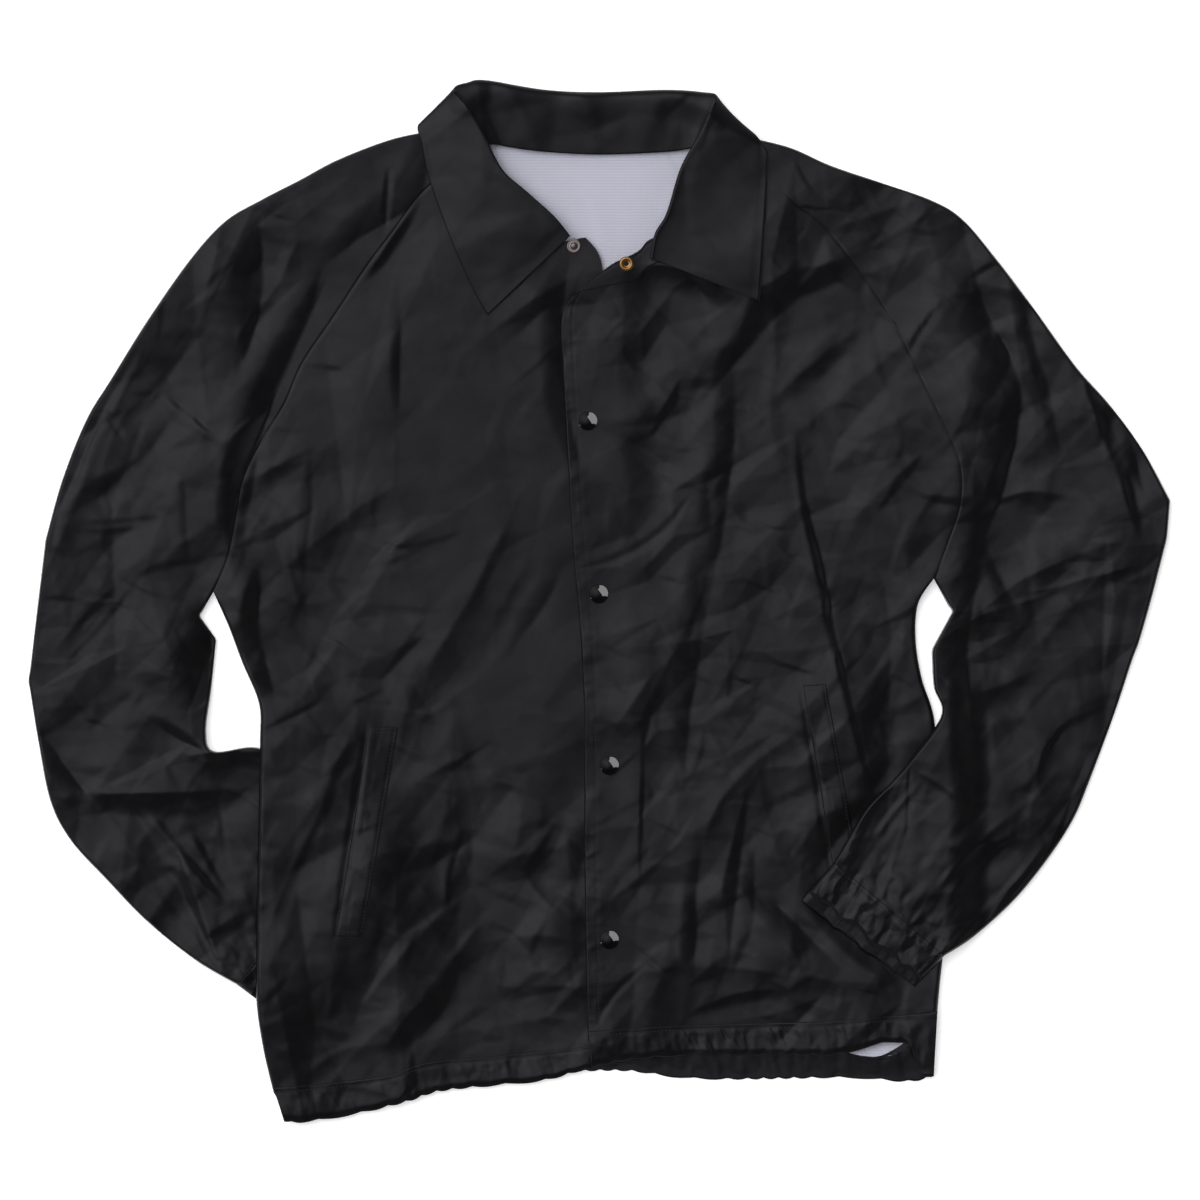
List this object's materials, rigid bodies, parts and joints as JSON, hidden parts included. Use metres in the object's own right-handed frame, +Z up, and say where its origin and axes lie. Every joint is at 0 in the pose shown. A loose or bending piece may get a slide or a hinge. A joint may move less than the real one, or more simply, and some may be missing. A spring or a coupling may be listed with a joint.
{
  "type": "windbreaker",
  "caption": "Black nylon coach windbreaker with raglan sleeves, snap placket, slant welt pockets, gathered cuffs and hem, white lining at the neck, laid out flat.",
  "frame": {"origin": "bottom centre of the box around the laid-out jacket, on the floor", "axes": "+Z up out of the jacket's front, +Y towards the collar, +X towards the wearer's left sleeve"},
  "size_m": [0.9508, 0.8664, 0.0187],
  "materials": {
    "shell": "plain-weave nylon with a soft sheen",
    "lining": "fine white mesh",
    "snap_cap": "gloss enamel",
    "snap_stud": "nickel plated",
    "snap_socket": "plated"
  },
  "bodies": {
    "root": {"back": "shell", "front_right": "shell", "front_left": "shell", "facing_left": "shell", "sleeve_right": "shell", "sleeve_left": "shell", "cuff_right": "shell", "cuff_left": "shell", "hem_front_right": "shell", "hem_front_left": "shell", "hem_back": "shell", "collar": "shell", "welt_right": "shell", "welt_left": "shell", "back_lining": "lining", "snap_cap_1": "snap_cap", "snap_cap_2": "snap_cap", "snap_cap_3": "snap_cap", "snap_cap_4": "snap_cap", "snap_stud": "snap_stud", "snap_socket": "snap_socket"}
  },
  "joints": []
}
